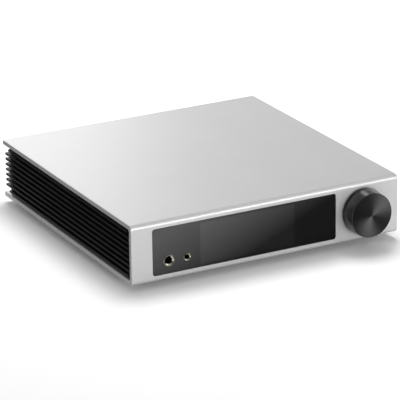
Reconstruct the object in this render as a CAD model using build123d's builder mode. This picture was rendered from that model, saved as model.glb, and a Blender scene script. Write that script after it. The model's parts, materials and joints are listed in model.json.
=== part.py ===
from build123d import *
import os

os.makedirs("parts", exist_ok=True)

# Shared fits
cut_overrun = 5            # how far a cut runs past what it cuts
fit_gap = 0.1              # glass in its rebate, screw in its hole
socket_gap = 0.3           # socket in its panel hole
slide_gap = 0.3            # moving piece beside a fixed one
running_gap = 0.04         # shaft in its bore, on the radius
pick_tolerance = 0.001

# Case sleeve: one aluminium wrap over the top, the front and the bottom
case_width = 260
case_depth = 260
case_height = 53.6
plate_thickness = 4
front_wall = 4
bend_radius = 4
inner_bend_radius = 1.5
sleeve_edge_break = 0.3

# Black window in the front wall, by its margins to the case edges
window_left_margin = 19.6
window_right_margin = 62.4
window_bottom_margin = 5.4
window_top_margin = 6.1
window_corner = 2.5
window_ledge = 2
ledge_corner = 1
glass_thickness = 2.5
glass_edge_break = 0.2
tape_thickness = 0.3

# Display behind the window, by its insets from the window edges
display_left_inset = 45.4
display_right_inset = 41.7
display_ledge_gap = 0.4
display_board_lap = 1.85
bracket_edge_gap = 2.8     # bracket inside the case's plates
bracket_thickness = 2
bracket_side_margin = 5
bracket_screw_margin = 2.8
bracket_screw_inset = 6    # screw rows inside the window's top and bottom

# Boards and what carries them
board_thickness = 1.6
standoff_height = 5.1
standoff_flats = 5.5
standoff_inset = 4.5

# Side heat sinks
fin_count = 9
fin_pitch = 4.93
fin_thickness = 2
fin_setback = 0.3          # fin tips inside the sleeve's side edges
fin_depth = 6
fin_rear_gap = 1.1         # fins end ahead of the wall's rear end
end_fin_front_gap = 4.3    # the top and the bottom fin are shorter than the others
end_fin_rear_gap = 8
fin_root_radius = 1.2
fin_tip_radius = 0.4
sink_wall = 7.7
sink_rear_setback = 2.2

# Rear panel
panel_setback = 0.2        # panel face inside the sleeve's rear edge
panel_edge_gap = 0.15

# Screws
screw_radius = 1.45
sink_head_radius = 2.75
sink_screw_length = 10
pan_head_radius = 2.8
pan_head_height = 1.9
pan_screw_length = 5.5
socket_radius = 1.15
socket_depth = 1
case_screw_shares = (-0.4, 0, 0.4)     # along the case depth
panel_screw_shares = (-0.38, 0, 0.38)  # along the panel height

# Feet
foot_height = 6.4
foot_radius = 12
foot_inset = 34
foot_edge_break = 0.8
foot_screw_radius = 1.95
foot_head_radius = 3.6
foot_head_height = 2.4
foot_head_recess_depth = 3.4
foot_pocket_radius = 4
foot_screw_end_gap = 0.4

# Volume knob and its encoder
knob_reach = 16
knob_side_inset = 35.5
knob_rise = 0.2            # knob axis above the middle of the case
knob_back_radius = 21
knob_front_radius = 20.1
knob_rim_chamfer = 0.6
knob_back_chamfer = 0.5
knob_gap = 1.2
knob_hollow_radius = 16
knob_hollow_offset = 9
knob_boss_radius = 5.5
knob_boss_offset = 4.4
knob_bore_offset = 13.5
grub_radius = 1.5
grub_length = 5
grub_offset = 11            # ahead of the case front
shaft_radius = 3
shaft_flat = 0.5
shaft_end_gap = 0.3
shaft_tip_radius = 2
shaft_tip_length = 2.5
shaft_shoulder_inset = 0.5
push_travel = 0.5
bushing_radius = 4.45
bushing_reach = 3
bushing_flange = 1.5
encoder_width = 12.5
encoder_height = 13.5
encoder_body_depth = 8
encoder_back_wall = 1.5
encoder_cavity_radius = 4.3
plunger_radius = 3.7
washer_radius = 6.5
washer_thickness = 0.5
nut_flats = 12
nut_thickness = 2
encoder_board_width = 28

# Headphone jacks
jack_rise = 11.6           # jack axes above the window's bottom
ferrule_proud = 0.4
ferrule_edge_break = 0.35
large_jack_inset = 15.5    # from the window's left edge
large_ferrule_radius = 5.35
large_jack_bore = 3.25
large_mouth_chamfer = 1.2
large_jack_width = 15
large_jack_top_height = 6.5       # body above the jack axis
large_jack_depth = 27
small_jack_inset = 32.8
small_ferrule_radius = 3.6
small_jack_bore = 2.25
small_mouth_chamfer = 0.8
small_jack_width = 10
small_jack_top_height = 4.8
small_jack_depth = 24
jack_back_wall = 2
headphone_board_depth = 50

# Gaps round the boards
board_side_gap = 3
board_back_gap = 0.5
board_split_gap = 2
boards_gap = 31            # headphone board to main board
supply_board_back_gap = 30

# Balanced output sockets
xlr_block_width = 25
xlr_block_height = 31
xlr_block_depth = 22
xlr_neck_radius = 11.5
xlr_neck_reach = 1
xlr_cavity_radius = 9.3
xlr_cavity_depth = 15
xlr_pin_radius = 1.2
xlr_pin_length = 12
xlr_pin_circle_radius = 5.2
xlr_key_width = 3.4
xlr_key_depth = 1.6

# Phono sockets: a stacked pair and one digital output
rca_block_width = 14
rca_block_depth = 14
rca_first_height = 9       # first socket axis above the board
rca_second_height = 26
rca_block_margin = 8
rca_length = 9.5
rca_shell_radius = 4.15
rca_shell_wall = 0.8
rca_insulator_gap = 0.05
rca_insulator_inset = 1
rca_contact_radius = 1.6
rca_contact_depth = 9
rca_hole_gap = 0.5

# Optical socket with a sprung shutter
optical_width = 10
optical_height = 10.4
optical_depth = 13
optical_mouth = 6.6
optical_mouth_depth = 9.5
shutter_thickness = 0.7
shutter_inset = 0.6
shutter_pin_radius = 0.4
shutter_pin_length = 0.8
shutter_pin_drop = 0.75    # hinge pin below the mouth's top

# Data sockets
usb_device_width = 12
usb_device_height = 11
usb_device_depth = 16
usb_device_mouth_width = 8.6
usb_device_mouth_height = 7.9
usb_device_tongue_width = 5.5
usb_device_tongue_height = 3.2
network_width = 16
network_height = 13.6
network_depth = 21
network_mouth_width = 11.8
network_mouth_height = 8.4
network_mouth_depth = 13
network_latch_width = 6
network_latch_height = 2
usb_host_width = 14.6
usb_host_height = 7.4
usb_host_depth = 14
usb_host_mouth_width = 12.6
usb_host_mouth_height = 5.2
usb_host_tongue_width = 11
usb_host_tongue_height = 1.8
usb_back_wall = 2
socket_floor = 1           # socket mouth above the board
socket_proud = 0.4

# Aerial behind a plastic window in the rear panel
aerial_window_width = 46
aerial_window_height = 10
aerial_drop = 9.6          # window centre below the top plate
aerial_lip = 2
aerial_lip_thickness = 1.5
aerial_board_thickness = 1

# Mains inlet with a fuse drawer
inlet_flange_width = 31
inlet_flange_height = 37
inlet_flange_thickness = 2
inlet_flange_corner = 2
inlet_body_width = 27.6
inlet_body_height = 33.6
inlet_body_depth = 24
inlet_mouth_width = 24.4
inlet_mouth_height = 16.6
inlet_mouth_rise = 6       # mouth centre above the inlet centre
inlet_mouth_corner = 4.5
inlet_mouth_depth = 17
inlet_pin_pitch = 14
inlet_pin_width = 2
inlet_pin_height = 4
inlet_pin_length = 15
inlet_earth_rise = 4
drawer_width = 23.4
drawer_height = 7
drawer_length = 19
drawer_drop = 10.5         # drawer centre below the inlet centre
drawer_wall = 1
drawer_front_thickness = 3
drawer_end_gap = 0.5
drawer_lip_height = 1.2
drawer_lip_depth = 1.2
fuse_radius = 2.5
fuse_body_radius = 2.2
fuse_length = 20
fuse_cap_length = 5

# Mains rocker switch
switch_flange_width = 15
switch_flange_height = 21.5
switch_body_width = 13
switch_body_height = 19.4
switch_body_depth = 15
switch_cavity_depth = 7
rocker_width = 10
rocker_half_height = 7.1
rocker_rise = 1.6
rocker_dip_height = 0.5
rocker_keel_half = 5
rocker_keel_depth = 3
rocker_tilt = 9            # degrees each side of level
rocker_pivot_sink = 0.3
rocker_pin_radius = 1
rocker_pin_length = 0.9

# Power supply board and what stands on it
transformer_width = 34
transformer_depth = 30
transformer_height = 27
winding_width = 24
winding_depth = 36
winding_height = 19
winding_rise = 4
transformer_gap = 1
transformer_share = 0.45
supply_capacitor_radius = 8
supply_capacitor_height = 28
supply_capacitor_shares = ((0.38, 0.1), (0.75, 0.1), (0.2, 0.74))
filter_coil_radius = 10
filter_coil_hole = 4
filter_coil_height = 12
filter_coil_shares = (0.62, 0.8)
component_edge_break = 0.8
angle_thickness = 4
angle_foot = 12
angle_height = 30
angle_length = 50
angle_share = 0.25

# What stands on the main and headphone boards
module_width = 40
module_depth = 50
module_lift = 4
module_thickness = 1.2
module_connector_width = 34
module_connector_depth = 6
module_side_gap = 5
module_share = 0.27
shield_width = 30
shield_height = 3
pad_width = 26
pad_thickness = 1
bridge_thickness = 5
bridge_height = 22
chip_width = 9
chip_height = 1.6
chip_shares = (
    (0.5, 0.26), (0.5, 0.4), (0.62, 0.26), (0.62, 0.4),
    (0.74, 0.34), (0.86, 0.34), (0.8, 0.52), (0.62, 0.52),
)
clock_width = 14
clock_depth = 9
clock_height = 6
clock_shares = ((0.68, 0.14), (0.81, 0.14))
capacitor_radius = 4
capacitor_height = 12.5
main_capacitor_shares = tuple(
    (0.33 + 0.07 * column, 0.64 + 0.1 * row) for column in range(5) for row in range(2)
)
headphone_capacitor_shares = ((0.3, 0.78), (0.52, 0.78), (0.74, 0.78))

# Cables inside the case
ribbon_width = 20
ribbon_thickness = 0.4
ribbon_run = 14
ribbon_bend = 5
ribbon_drop = 10           # ribbon below the window's middle
ribbon_lap = 8
link_width = 12
link_thickness = 1.2
link_rise = 7
link_bend = 3
link_inset = 5
lead_radius = 1.3
lead_bend = 4
lead_rise = 9
lead_run = 10
lead_spacing = 5
lead_edge_inset = 11

# Levels and planes worked out from the sizes above
underside_z = foot_height
floor_z = underside_z + plate_thickness
top_z = underside_z + case_height
ceiling_z = top_z - plate_thickness
cavity_height = ceiling_z - floor_z
half_width = case_width / 2
case_middle_z = underside_z + case_height / 2
panel_thickness = sink_rear_setback - panel_setback
total_length = knob_reach + case_depth - panel_setback + rca_length
front_y = knob_reach - total_length / 2
rear_y = front_y + case_depth
middle_y = (front_y + rear_y) / 2
wall_back_y = front_y + front_wall
bracket_back_y = wall_back_y + bracket_thickness
panel_out_y = rear_y - panel_setback
panel_in_y = panel_out_y - panel_thickness
sink_face = half_width - fin_setback - fin_depth
sink_inside = sink_face - sink_wall
window_left = window_left_margin - half_width
window_width = case_width - window_left_margin - window_right_margin
window_height = case_height - window_bottom_margin - window_top_margin
window_x = window_left + window_width / 2
window_z = underside_z + window_bottom_margin + window_height / 2
display_width = window_width - display_left_inset - display_right_inset
display_x = window_left + display_left_inset + display_width / 2
display_height = window_height - 2 * window_ledge - 2 * display_ledge_gap
display_board_width = display_width + 2 * display_board_lap
bracket_height = cavity_height - 2 * bracket_edge_gap
knob_x = half_width - knob_side_inset
knob_z = case_middle_z + knob_rise
jack_z = underside_z + window_bottom_margin + jack_rise
large_jack_x = window_left + large_jack_inset
small_jack_x = window_left + small_jack_inset
board_z = floor_z + standoff_height
board_top_z = board_z + board_thickness
inlet_z = case_middle_z
aerial_z = top_z - aerial_drop - plate_thickness


def save(piece, name):
    piece.part.label = name
    export_step(piece.part, f"parts/{name}.step")
    solids = piece.part.solids()
    print(name, len(solids), "solids", round(sum(solid.volume for solid in solids)), "mm3")


def facing(y):
    """Plane across the case at y, seen from the front: x to the right, y up."""
    return Plane(origin=(0, y, 0), x_dir=(1, 0, 0), z_dir=(0, -1, 0))


def block(x_range, y_range, z_range, mode=Mode.ADD):
    """Box between two corners, given as ranges along each axis."""
    ranges = (x_range, y_range, z_range)
    centre = tuple((low + high) / 2 for low, high in ranges)
    width, depth, height = (high - low for low, high in ranges)
    with Locations(centre):
        Box(width, depth, height, mode=mode)


def rod(x, z, radius, y_range, mode=Mode.ADD):
    """Cylinder that lies along the case depth."""
    low, high = y_range
    with Locations((x, (low + high) / 2, z)):
        Cylinder(radius, high - low, rotation=(90, 0, 0), mode=mode)


def post(x, y, radius, z_range, mode=Mode.ADD):
    """Cylinder that stands upright."""
    low, high = z_range
    with Locations((x, y, (low + high) / 2)):
        Cylinder(radius, high - low, mode=mode)


def about(centre, width):
    """Range of a width about its centre."""
    return (centre - width / 2, centre + width / 2)


def onward(start, length):
    """Range that runs a length onward from its start."""
    return (start, start + length)


def board_corners(left, front, width, depth):
    """Places of the four screws near a board's corners."""
    xs = (left + standoff_inset, left + width - standoff_inset)
    ys = (front + standoff_inset, front + depth - standoff_inset)
    return [(x, y) for x in xs for y in ys]


# Rear sockets stand in one row with equal gaps between the two heat sinks
row_widths = (
    xlr_block_width, xlr_block_width, rca_block_width, rca_block_width, optical_width, usb_device_width,
    network_width, usb_host_width, switch_flange_width, inlet_flange_width,
)
row_gap = (2 * sink_inside - sum(row_widths)) / (len(row_widths) + 1)
row_places = [
    row_gap * (index + 1) + sum(row_widths[:index]) + width / 2 - sink_inside
    for index, width in enumerate(row_widths)
]
xlr_places = row_places[:2]
rca_pair_place, rca_digital_place, optical_place, usb_device_place = row_places[2:6]
network_place, usb_host_place, switch_place, inlet_place = row_places[6:]
board_split_x = switch_place - (switch_flange_width + row_gap) / 2

# Board places, from the left front corner of each board
headphone_board_left = board_side_gap - sink_inside
headphone_board_width = display_x - display_board_width / 2 - fit_gap - headphone_board_left
headphone_board_front = bracket_back_y + pan_head_height + socket_gap
main_board_front = headphone_board_front + headphone_board_depth + boards_gap
main_board_left = headphone_board_left
main_board_right = board_split_x - board_split_gap / 2
main_board_width = main_board_right - main_board_left
main_board_depth = panel_in_y - board_back_gap - main_board_front
supply_board_front = main_board_front
supply_board_left = board_split_x + board_split_gap / 2
supply_board_width = sink_inside - board_side_gap - supply_board_left
supply_board_depth = panel_in_y - supply_board_back_gap - supply_board_front
main_board_y = (main_board_front, main_board_front + main_board_depth)
main_middle_y = (main_board_y[0] + main_board_y[1]) / 2

main_screws = board_corners(main_board_left, main_board_front, main_board_width, main_board_depth)
main_screws = [place for place in main_screws if place[1] < main_middle_y]
main_screws += [
    (x, main_middle_y)
    for x in (main_board_left + standoff_inset, main_board_right - standoff_inset)
]
supply_screws = board_corners(supply_board_left, supply_board_front, supply_board_width, supply_board_depth)
headphone_screws = board_corners(
    headphone_board_left, headphone_board_front, headphone_board_width, headphone_board_depth
)
headphone_middle_y = headphone_board_front + headphone_board_depth / 2
headphone_screws = [place for place in headphone_screws if place[1] > headphone_middle_y]

# Screw places: each one looks out of its head
down = (180, 0, 0)
rearward = (-90, 0, 0)
sink_wall_centre = sink_inside + sink_wall / 2
case_screw_places = [
    Location((side * sink_wall_centre, middle_y + share * case_depth, underside_z), down)
    for side in (-1, 1) for share in case_screw_shares
]
panel_centre_z = (floor_z + ceiling_z) / 2
panel_screw_places = [
    Location((side * sink_wall_centre, panel_out_y, panel_centre_z + share * cavity_height), rearward)
    for side in (-1, 1) for share in panel_screw_shares
]
board_screw_places = [
    Location((x, y, board_top_z), (0, 0, 0)) for x, y in main_screws + supply_screws + headphone_screws
]
bracket_screw_xs = (
    window_x - window_width / 2 - bracket_screw_margin,
    window_x + window_width / 2 + bracket_screw_margin,
)
bracket_screw_places = [
    Location((x, bracket_back_y, window_z + side * (window_height / 2 - bracket_screw_inset)), rearward)
    for x in bracket_screw_xs for side in (-1, 1)
]
foot_places = [
    (side * (half_width - foot_inset), y)
    for side in (-1, 1) for y in (front_y + foot_inset, rear_y - foot_inset)
]
foot_screw_places = [Location((x, y, 0), down) for x, y in foot_places]
foot_screw_length = floor_z - foot_head_recess_depth - foot_screw_end_gap

# Sleeve: a C-shaped section drawn from the side, then the window, the shaft hole and the screw holes
with BuildPart() as case_sleeve:
    with BuildSketch(Plane.YZ) as sleeve_section:
        with Locations((front_y, underside_z)):
            Rectangle(case_depth, case_height, align=(Align.MIN, Align.MIN))
        fillet(sleeve_section.vertices().group_by(Axis.X)[0], bend_radius)
        with Locations((wall_back_y, floor_z)):
            RectangleRounded(
                case_depth, cavity_height, inner_bend_radius, align=(Align.MIN, Align.MIN), mode=Mode.SUBTRACT
            )
    extrude(amount=half_width, both=True)
    chamfer(case_sleeve.faces().sort_by(Axis.X)[0].edges(), sleeve_edge_break)
    chamfer(case_sleeve.faces().sort_by(Axis.X)[-1].edges(), sleeve_edge_break)
    with BuildSketch(facing(front_y)):
        with Locations((window_x, window_z)):
            RectangleRounded(window_width, window_height, window_corner)
    extrude(amount=-(glass_thickness + tape_thickness), mode=Mode.SUBTRACT)
    with BuildSketch(facing(front_y)):
        with Locations((window_x, window_z)):
            RectangleRounded(window_width - 2 * window_ledge, window_height - 2 * window_ledge, ledge_corner)
        with Locations((knob_x, knob_z)):
            Circle(bushing_radius + fit_gap)
    extrude(amount=-(front_wall + cut_overrun), mode=Mode.SUBTRACT)
    with Locations(*case_screw_places):
        CounterSinkHole(screw_radius + fit_gap, sink_head_radius + fit_gap, plate_thickness + cut_overrun, 90)
    with Locations(*[Location((x, y, underside_z), down) for x, y in foot_places]):
        Hole(foot_screw_radius + fit_gap, plate_thickness + cut_overrun)
    with Locations(*bracket_screw_places):
        Hole(screw_radius + fit_gap, pan_screw_length + fit_gap)
save(case_sleeve, "case_sleeve")


def make_heatsink(side):
    """Finned side wall; side is -1 for the left and 1 for the right."""
    fin_reach = fin_depth + sink_wall
    inner_x = side * sink_inside
    fins_x = sorted((side * sink_face, side * half_width))
    if side > 0:
        edge = Align.MIN
    else:
        edge = Align.MAX
    fin_places = [
        (inner_x, case_middle_z + (index - (fin_count - 1) / 2) * fin_pitch)
        for index in range(fin_count)
    ]
    with BuildPart() as heatsink:
        with BuildSketch(facing(rear_y - sink_rear_setback)) as section:
            with Locations((inner_x, floor_z)):
                Rectangle(sink_wall, cavity_height, align=(edge, Align.MIN))
            with Locations(*fin_places):
                Rectangle(fin_reach, fin_thickness, align=(edge, Align.CENTER))
            roots = section.vertices().filter_by(lambda v: abs(abs(v.X) - sink_face) < pick_tolerance)
            fillet(roots.sort_by(Axis.Y)[1:-1], fin_root_radius)
            tips = section.vertices().filter_by(
                lambda v: abs(abs(v.X) - sink_face - fin_depth) < pick_tolerance
            )
            fillet(tips, fin_tip_radius)
        extrude(amount=case_depth - sink_rear_setback - front_wall)
        front_edges = heatsink.edges().filter_by(Axis.X).group_by(Axis.Y)[0].sort_by(Axis.Z)
        chamfer([front_edges[0], front_edges[-1]], inner_bend_radius)
        sink_end_y = rear_y - sink_rear_setback
        block(fins_x, (sink_end_y - fin_rear_gap, sink_end_y), (floor_z, ceiling_z), Mode.SUBTRACT)
        for fin_z in (fin_places[0][1], fin_places[-1][1]):
            block(fins_x, onward(wall_back_y, end_fin_front_gap), about(fin_z, fin_pitch), Mode.SUBTRACT)
            block(fins_x, (sink_end_y - end_fin_rear_gap, sink_end_y), about(fin_z, fin_pitch), Mode.SUBTRACT)
        with Locations(*case_screw_places, *panel_screw_places):
            Hole(screw_radius + fit_gap, sink_screw_length + fit_gap)
    return heatsink


left_heatsink = make_heatsink(-1)
save(left_heatsink, "left_heatsink")
right_heatsink = make_heatsink(1)
save(right_heatsink, "right_heatsink")

# Rear panel with a hole for every socket
with BuildPart() as rear_panel:
    with BuildSketch(facing(panel_in_y)):
        with Locations((0, panel_centre_z)):
            Rectangle(2 * sink_face, cavity_height - 2 * panel_edge_gap)
        with Locations(*[(x, board_top_z + xlr_block_height / 2) for x in xlr_places]):
            Circle(xlr_neck_radius + socket_gap, mode=Mode.SUBTRACT)
        with Locations(
            (rca_pair_place, board_top_z + rca_first_height),
            (rca_pair_place, board_top_z + rca_second_height),
            (rca_digital_place, board_top_z + rca_first_height),
        ):
            Circle(rca_shell_radius + rca_hole_gap, mode=Mode.SUBTRACT)
        for place, width, height in (
            (optical_place, optical_width, optical_height),
            (usb_device_place, usb_device_width, usb_device_height),
            (network_place, network_width, network_height),
            (usb_host_place, usb_host_width, usb_host_height),
        ):
            with Locations((place, board_top_z + height / 2)):
                Rectangle(width + 2 * socket_gap, height + 2 * socket_gap, mode=Mode.SUBTRACT)
        with Locations((network_place, aerial_z)):
            Rectangle(
                aerial_window_width + 2 * fit_gap, aerial_window_height + 2 * fit_gap,
                mode=Mode.SUBTRACT,
            )
        with Locations((inlet_place, inlet_z)):
            Rectangle(
                inlet_body_width + 2 * socket_gap, inlet_body_height + 2 * socket_gap,
                mode=Mode.SUBTRACT,
            )
        with Locations((switch_place, inlet_z)):
            Rectangle(
                switch_body_width + 2 * socket_gap, switch_body_height + 2 * socket_gap,
                mode=Mode.SUBTRACT,
            )
    extrude(amount=-panel_thickness)
    with Locations(*panel_screw_places):
        CounterSinkHole(screw_radius + fit_gap, sink_head_radius + fit_gap, panel_thickness + cut_overrun, 90)
save(rear_panel, "rear_panel")

# Countersunk screws: under the case and through the rear panel
with BuildPart() as sink_screw:
    with Locations((0, 0, -sink_screw_length / 2)):
        Cylinder(screw_radius, sink_screw_length)
    with Locations((0, 0, -sink_head_radius / 2)):
        Cone(0, sink_head_radius, sink_head_radius)
    with BuildSketch():
        RegularPolygon(socket_radius, 6)
    extrude(amount=-socket_depth, mode=Mode.SUBTRACT)
with BuildPart() as countersunk_screws:
    with Locations(*case_screw_places, *panel_screw_places):
        add(sink_screw.part)
save(countersunk_screws, "countersunk_screws")

# Feet and their screws
with BuildPart() as feet:
    for x, y in foot_places:
        post(x, y, foot_radius, (0, foot_height))
    chamfer(feet.edges().group_by(Axis.Z)[0], foot_edge_break)
    with Locations(*foot_screw_places):
        CounterBoreHole(
            foot_screw_radius + fit_gap, foot_pocket_radius, foot_head_recess_depth, foot_height + cut_overrun
        )
save(feet, "feet")

with BuildPart() as foot_screw:
    with Locations((0, 0, -foot_head_recess_depth + foot_head_height / 2)):
        Cylinder(foot_head_radius, foot_head_height)
    with Locations((0, 0, -foot_head_recess_depth - foot_screw_length / 2)):
        Cylinder(foot_screw_radius, foot_screw_length)
    with BuildSketch(Plane.XY.offset(foot_head_height - foot_head_recess_depth)):
        RegularPolygon(foot_screw_radius, 6)
    extrude(amount=-socket_depth, mode=Mode.SUBTRACT)
with BuildPart() as foot_screws:
    with Locations(*foot_screw_places):
        add(foot_screw.part)
save(foot_screws, "foot_screws")

# Front glass, its tape, the display and the bracket that holds it
with BuildPart() as front_glass:
    with BuildSketch(facing(front_y)):
        with Locations((window_x, window_z)):
            RectangleRounded(window_width - 2 * fit_gap, window_height - 2 * fit_gap, window_corner - fit_gap)
        with Locations((large_jack_x, jack_z)):
            Circle(large_ferrule_radius + fit_gap, mode=Mode.SUBTRACT)
        with Locations((small_jack_x, jack_z)):
            Circle(small_ferrule_radius + fit_gap, mode=Mode.SUBTRACT)
    extrude(amount=-glass_thickness)
    chamfer(front_glass.faces().sort_by(Axis.Y)[0].outer_wire().edges(), glass_edge_break)
save(front_glass, "front_glass")

with BuildPart() as glass_tape:
    with BuildSketch(facing(front_y + glass_thickness)):
        with Locations((window_x, window_z)):
            RectangleRounded(window_width - 2 * fit_gap, window_height - 2 * fit_gap, window_corner - fit_gap)
            RectangleRounded(
                window_width - 2 * window_ledge, window_height - 2 * window_ledge, ledge_corner,
                mode=Mode.SUBTRACT,
            )
    extrude(amount=-tape_thickness)
save(glass_tape, "glass_tape")

with BuildPart() as display_panel:
    block(
        about(display_x, display_width), (front_y + glass_thickness, bracket_back_y),
        about(window_z, display_height),
    )
save(display_panel, "display_panel")

bracket_x = (bracket_screw_xs[0] - pan_head_radius / 2, bracket_screw_xs[1] + bracket_side_margin)
with BuildPart() as front_bracket:
    with BuildSketch(facing(wall_back_y)):
        with Locations(((bracket_x[0] + bracket_x[1]) / 2, window_z)):
            Rectangle(bracket_x[1] - bracket_x[0], bracket_height)
        with Locations((display_x, window_z)):
            Rectangle(display_width + 2 * fit_gap, display_height + 2 * fit_gap, mode=Mode.SUBTRACT)
        with Locations((large_jack_x, jack_z)):
            Circle(large_ferrule_radius + fit_gap, mode=Mode.SUBTRACT)
        with Locations((small_jack_x, jack_z)):
            Circle(small_ferrule_radius + fit_gap, mode=Mode.SUBTRACT)
        with Locations(*[(place.position.X, place.position.Z) for place in bracket_screw_places]):
            Circle(screw_radius + fit_gap, mode=Mode.SUBTRACT)
    extrude(amount=-bracket_thickness)
save(front_bracket, "front_bracket")

display_board_y = onward(bracket_back_y, board_thickness)
with BuildPart() as display_board:
    block(about(display_x, display_board_width), display_board_y, about(window_z, bracket_height))
save(display_board, "display_board")

# Pan head screws: on the boards and on the bracket
with BuildPart() as pan_screw:
    with Locations((0, 0, pan_head_height / 2)):
        Cylinder(pan_head_radius, pan_head_height)
    fillet(pan_screw.edges().sort_by(Axis.Z)[-1], pan_head_height / 2)
    with Locations((0, 0, -pan_screw_length / 2)):
        Cylinder(screw_radius, pan_screw_length)
    with BuildSketch(Plane.XY.offset(pan_head_height)):
        RegularPolygon(socket_radius, 6)
    extrude(amount=-socket_depth, mode=Mode.SUBTRACT)
with BuildPart() as pan_head_screws:
    with Locations(*board_screw_places, *bracket_screw_places):
        add(pan_screw.part)
save(pan_head_screws, "pan_head_screws")

# Volume knob, turned about an axis that runs along the case depth
knob_axis = Axis((knob_x, 0, knob_z), (0, 1, 0))
knob_bore_radius = shaft_radius + fit_gap / 2
with BuildPart() as volume_knob:
    with BuildSketch(Plane(origin=(knob_x, front_y, knob_z), x_dir=(1, 0, 0), z_dir=(0, 0, 1))):
        with BuildLine():
            Polyline(
                (0, -knob_reach),
                (knob_front_radius - knob_rim_chamfer, -knob_reach),
                (knob_front_radius, knob_rim_chamfer - knob_reach),
                (knob_back_radius, -knob_gap - knob_back_chamfer),
                (knob_back_radius - knob_back_chamfer, -knob_gap),
                (knob_hollow_radius, -knob_gap),
                (knob_hollow_radius, -knob_hollow_offset),
                (knob_boss_radius, -knob_hollow_offset),
                (knob_boss_radius, -knob_boss_offset),
                (knob_bore_radius, -knob_boss_offset),
                (knob_bore_radius, -knob_bore_offset),
                (0, -knob_bore_offset),
                close=True,
            )
        make_face()
    revolve(axis=knob_axis)
    post(
        knob_x, front_y - grub_offset, grub_radius + fit_gap,
        (knob_z - knob_back_radius, knob_z), Mode.SUBTRACT,
    )
save(volume_knob, "volume_knob")

grub_top_z = knob_z - shaft_radius + shaft_flat
with BuildPart() as knob_grub_screw:
    post(knob_x, front_y - grub_offset, grub_radius, (grub_top_z - grub_length, grub_top_z))
    with BuildSketch(Plane.XY.offset(grub_top_z - grub_length)):
        with Locations((knob_x, front_y - grub_offset)):
            RegularPolygon(grub_radius / 2, 6)
    extrude(amount=socket_depth, mode=Mode.SUBTRACT)
save(knob_grub_screw, "knob_grub_screw")

# Encoder: the shaft turns in a threaded bushing and its tip turns in a plunger that can be pushed in
shaft_front_y = front_y - knob_bore_offset + shaft_end_gap
shoulder_y = wall_back_y + bushing_flange + shaft_shoulder_inset
with BuildPart() as encoder_shaft:
    rod(knob_x, knob_z, shaft_radius, (shaft_front_y, shoulder_y))
    block(
        about(knob_x, 2 * shaft_radius),
        (shaft_front_y - cut_overrun, front_y - knob_boss_offset),
        (knob_z - 2 * shaft_radius, knob_z - shaft_radius + shaft_flat),
        Mode.SUBTRACT,
    )
    rod(knob_x, knob_z, shaft_tip_radius, onward(shoulder_y, shaft_tip_length))
save(encoder_shaft, "encoder_shaft")

encoder_front_y = wall_back_y + bushing_flange
encoder_back_y = encoder_front_y + encoder_body_depth
plunger_front_y = shoulder_y + slide_gap
plunger_back_y = encoder_back_y - encoder_back_wall - push_travel - slide_gap
with BuildPart() as encoder_plunger:
    rod(knob_x, knob_z, plunger_radius, (plunger_front_y, plunger_back_y))
    rod(
        knob_x, knob_z, shaft_tip_radius + running_gap,
        (shoulder_y, shoulder_y + shaft_tip_length + slide_gap),
        Mode.SUBTRACT,
    )
save(encoder_plunger, "encoder_plunger")

with BuildPart() as encoder_bushing:
    rod(knob_x, knob_z, bushing_radius, (front_y - bushing_reach, wall_back_y))
    block(
        about(knob_x, encoder_width),
        onward(wall_back_y, bushing_flange),
        about(knob_z, encoder_height),
    )
    rod(
        knob_x, knob_z, shaft_radius + running_gap,
        (front_y - bushing_reach - cut_overrun, wall_back_y + cut_overrun), Mode.SUBTRACT,
    )
save(encoder_bushing, "encoder_bushing")

with BuildPart() as encoder_body:
    block(about(knob_x, encoder_width), (encoder_front_y, encoder_back_y), about(knob_z, encoder_height))
    rod(
        knob_x, knob_z, encoder_cavity_radius,
        (encoder_front_y - cut_overrun, encoder_back_y - encoder_back_wall), Mode.SUBTRACT,
    )
save(encoder_body, "encoder_body")

with BuildPart() as encoder_washer:
    rod(knob_x, knob_z, washer_radius, (front_y - washer_thickness, front_y))
    rod(
        knob_x, knob_z, bushing_radius + fit_gap,
        (front_y - cut_overrun, front_y + cut_overrun), Mode.SUBTRACT,
    )
save(encoder_washer, "encoder_washer")

with BuildPart() as encoder_nut:
    with BuildSketch(facing(front_y - washer_thickness)):
        with Locations((knob_x, knob_z)):
            RegularPolygon(nut_flats / 2, 6, major_radius=False)
            Circle(bushing_radius + fit_gap, mode=Mode.SUBTRACT)
    extrude(amount=nut_thickness)
save(encoder_nut, "encoder_nut")

encoder_board_y = onward(encoder_back_y, board_thickness)
with BuildPart() as encoder_board:
    block(about(knob_x, encoder_board_width), encoder_board_y, about(knob_z, encoder_board_width))
save(encoder_board, "encoder_board")


def make_ferrule(place, outer_radius, bore_radius, mouth_chamfer):
    """Gold ring that lines a jack's mouth in the glass."""
    with BuildPart() as ferrule:
        rod(place, jack_z, outer_radius, (front_y - ferrule_proud, bracket_back_y))
        chamfer(ferrule.edges().sort_by(Axis.Y)[0], ferrule_edge_break)
        rod(place, jack_z, bore_radius, (front_y - cut_overrun, bracket_back_y + cut_overrun), Mode.SUBTRACT)
        front_circles = ferrule.edges().filter_by(GeomType.CIRCLE).group_by(Axis.Y)[0]
        chamfer(front_circles.sort_by(SortBy.RADIUS)[0], mouth_chamfer)
    return ferrule


def make_jack_body(place, width, above_axis, depth, bore_radius):
    """Plastic jack body that stands on the headphone board."""
    back_y = bracket_back_y + depth
    with BuildPart() as jack_body:
        block(about(place, width), (bracket_back_y, back_y), (board_top_z, jack_z + above_axis))
        rod(
            place, jack_z, bore_radius,
            (bracket_back_y - cut_overrun, back_y - jack_back_wall), Mode.SUBTRACT,
        )
    return jack_body


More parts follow.
